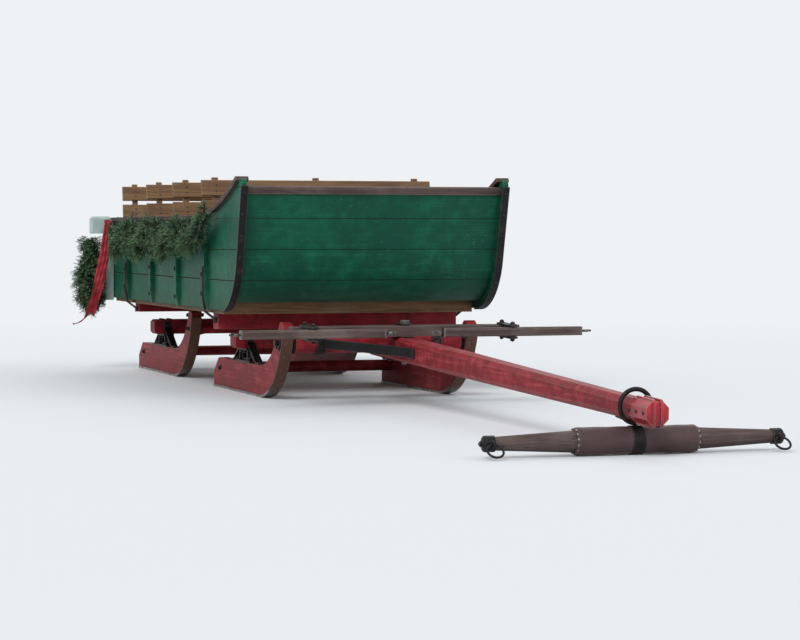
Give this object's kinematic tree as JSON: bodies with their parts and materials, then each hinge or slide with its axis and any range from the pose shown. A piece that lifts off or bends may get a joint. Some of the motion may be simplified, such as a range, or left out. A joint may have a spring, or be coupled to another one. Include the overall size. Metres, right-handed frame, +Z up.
{
  "type": "horse drawn passenger sleigh",
  "caption": "Team-drawn passenger sleigh: green plank box with swept dash on two steel-shod bobs, red draft pole with evener, singletrees and neck yoke.",
  "frame": {"origin": "on the ground under the middle of the whole, pole included, on its centre plane", "axes": "+Z up, -Y the way it travels, +X to its own left"},
  "size_m": [1.8426, 6.7604, 1.13],
  "materials": {
    "green_paint": "weathered gloss paint on boards",
    "red_paint": "worn gloss paint",
    "bare_wood": "oiled boards",
    "dark_wood": "weathered hardwood",
    "pale_paint": "weathered pale paint",
    "black_iron": "forged and painted black",
    "shoe_steel": "worn by snow",
    "red_steel": "chipped gloss paint",
    "evergreen": "fir twigs",
    "red_ribbon": "woven ribbon"
  },
  "bodies": {
    "sleigh_box": {"floor_boards": "bare_wood", "floor_sills": "bare_wood", "side_left": "green_paint", "side_right": "green_paint", "top_rails": "dark_wood", "side_stakes": "green_paint", "corner_posts": "pale_paint", "dash_panel": "green_paint", "dash_rail": "dark_wood", "dash_irons": "black_iron", "foot_rest": "bare_wood", "tail_board": "green_paint", "bench_planks": "bare_wood", "bench_risers": "bare_wood", "back_posts": "bare_wood", "back_slats": "bare_wood", "front_bolster": "red_paint", "bolster_plate": "black_iron", "king_pin": "black_iron", "rear_bolster": "red_paint", "rocker_hangers": "black_iron", "rocker_pins": "black_iron", "box_irons": "black_iron", "garland_left": "evergreen", "garland_right": "evergreen", "ribbon_left": "red_ribbon", "ribbon_right": "red_ribbon"},
    "front_bob": {"front_runners": "red_paint", "front_shoes": "shoe_steel", "front_knees": "black_iron", "front_bunk": "red_paint", "front_braces": "black_iron", "front_cross_bars": "red_paint", "bunk_plate": "black_iron", "eye_plates": "black_iron"},
    "rear_bob": {"rear_runners": "red_paint", "rear_shoes": "shoe_steel", "rear_knees": "black_iron", "rear_bunk": "red_paint", "rear_braces": "black_iron", "rear_cross_bars": "red_paint", "rear_ears": "black_iron"},
    "draft_pole": {"pole": "red_paint", "pole_cap": "red_steel", "pole_irons": "black_iron", "evener_pin": "black_iron", "roller": "red_paint", "gudgeons": "black_iron"},
    "evener_bar": {"evener": "dark_wood", "evener_irons": "black_iron"},
    "left_singletree": {"singletree_left": "dark_wood", "tree_hooks_left": "black_iron"},
    "right_singletree": {"singletree_right": "dark_wood", "tree_hooks_right": "black_iron"},
    "yoke_bar": {"neck_yoke": "dark_wood", "yoke_irons": "black_iron", "yoke_ends": "black_iron", "yoke_end_rings": "black_iron"}
  },
  "joints": [
    {"name": "front_bob_steer", "type": "hinge", "parent": "sleigh_box", "child": "front_bob", "pos_m": [0, 0.782, 0.32], "axis": [0, 0, 1], "range_deg": [-30, 30]},
    {"name": "rear_bob_rock", "type": "hinge", "parent": "sleigh_box", "child": "rear_bob", "pos_m": [0, 2.732, 0.344], "axis": [1, 0, 0], "range_deg": [-5, 5]},
    {"name": "pole_lift", "type": "hinge", "parent": "front_bob", "child": "draft_pole", "pos_m": [0, 0.0741, 0.29107], "axis": [-1, 0, 0], "range_deg": [0, 30]},
    {"name": "evener_swing", "type": "hinge", "parent": "draft_pole", "child": "evener_bar", "pos_m": [0, -0.37787, 0.33787], "axis": [0, -0.0359, 0.9994], "range_deg": [-15, 15]},
    {"name": "singletree_left_swing", "type": "hinge", "parent": "evener_bar", "child": "left_singletree", "pos_m": [0.5, -0.52867, 0.35747], "axis": [0, -0.0359, 0.9994], "range_deg": [-12, 12]},
    {"name": "singletree_right_swing", "type": "hinge", "parent": "evener_bar", "child": "right_singletree", "pos_m": [-0.5, -0.52867, 0.35747], "axis": [0, -0.0359, 0.9994], "range_deg": [-12, 12]},
    {"name": "neck_yoke_swing", "type": "hinge", "parent": "draft_pole", "child": "yoke_bar", "pos_m": [0, -3.17381, 0.1744], "axis": [0, -0.0359, 0.9994], "range_deg": [-15, 15]}
  ]
}
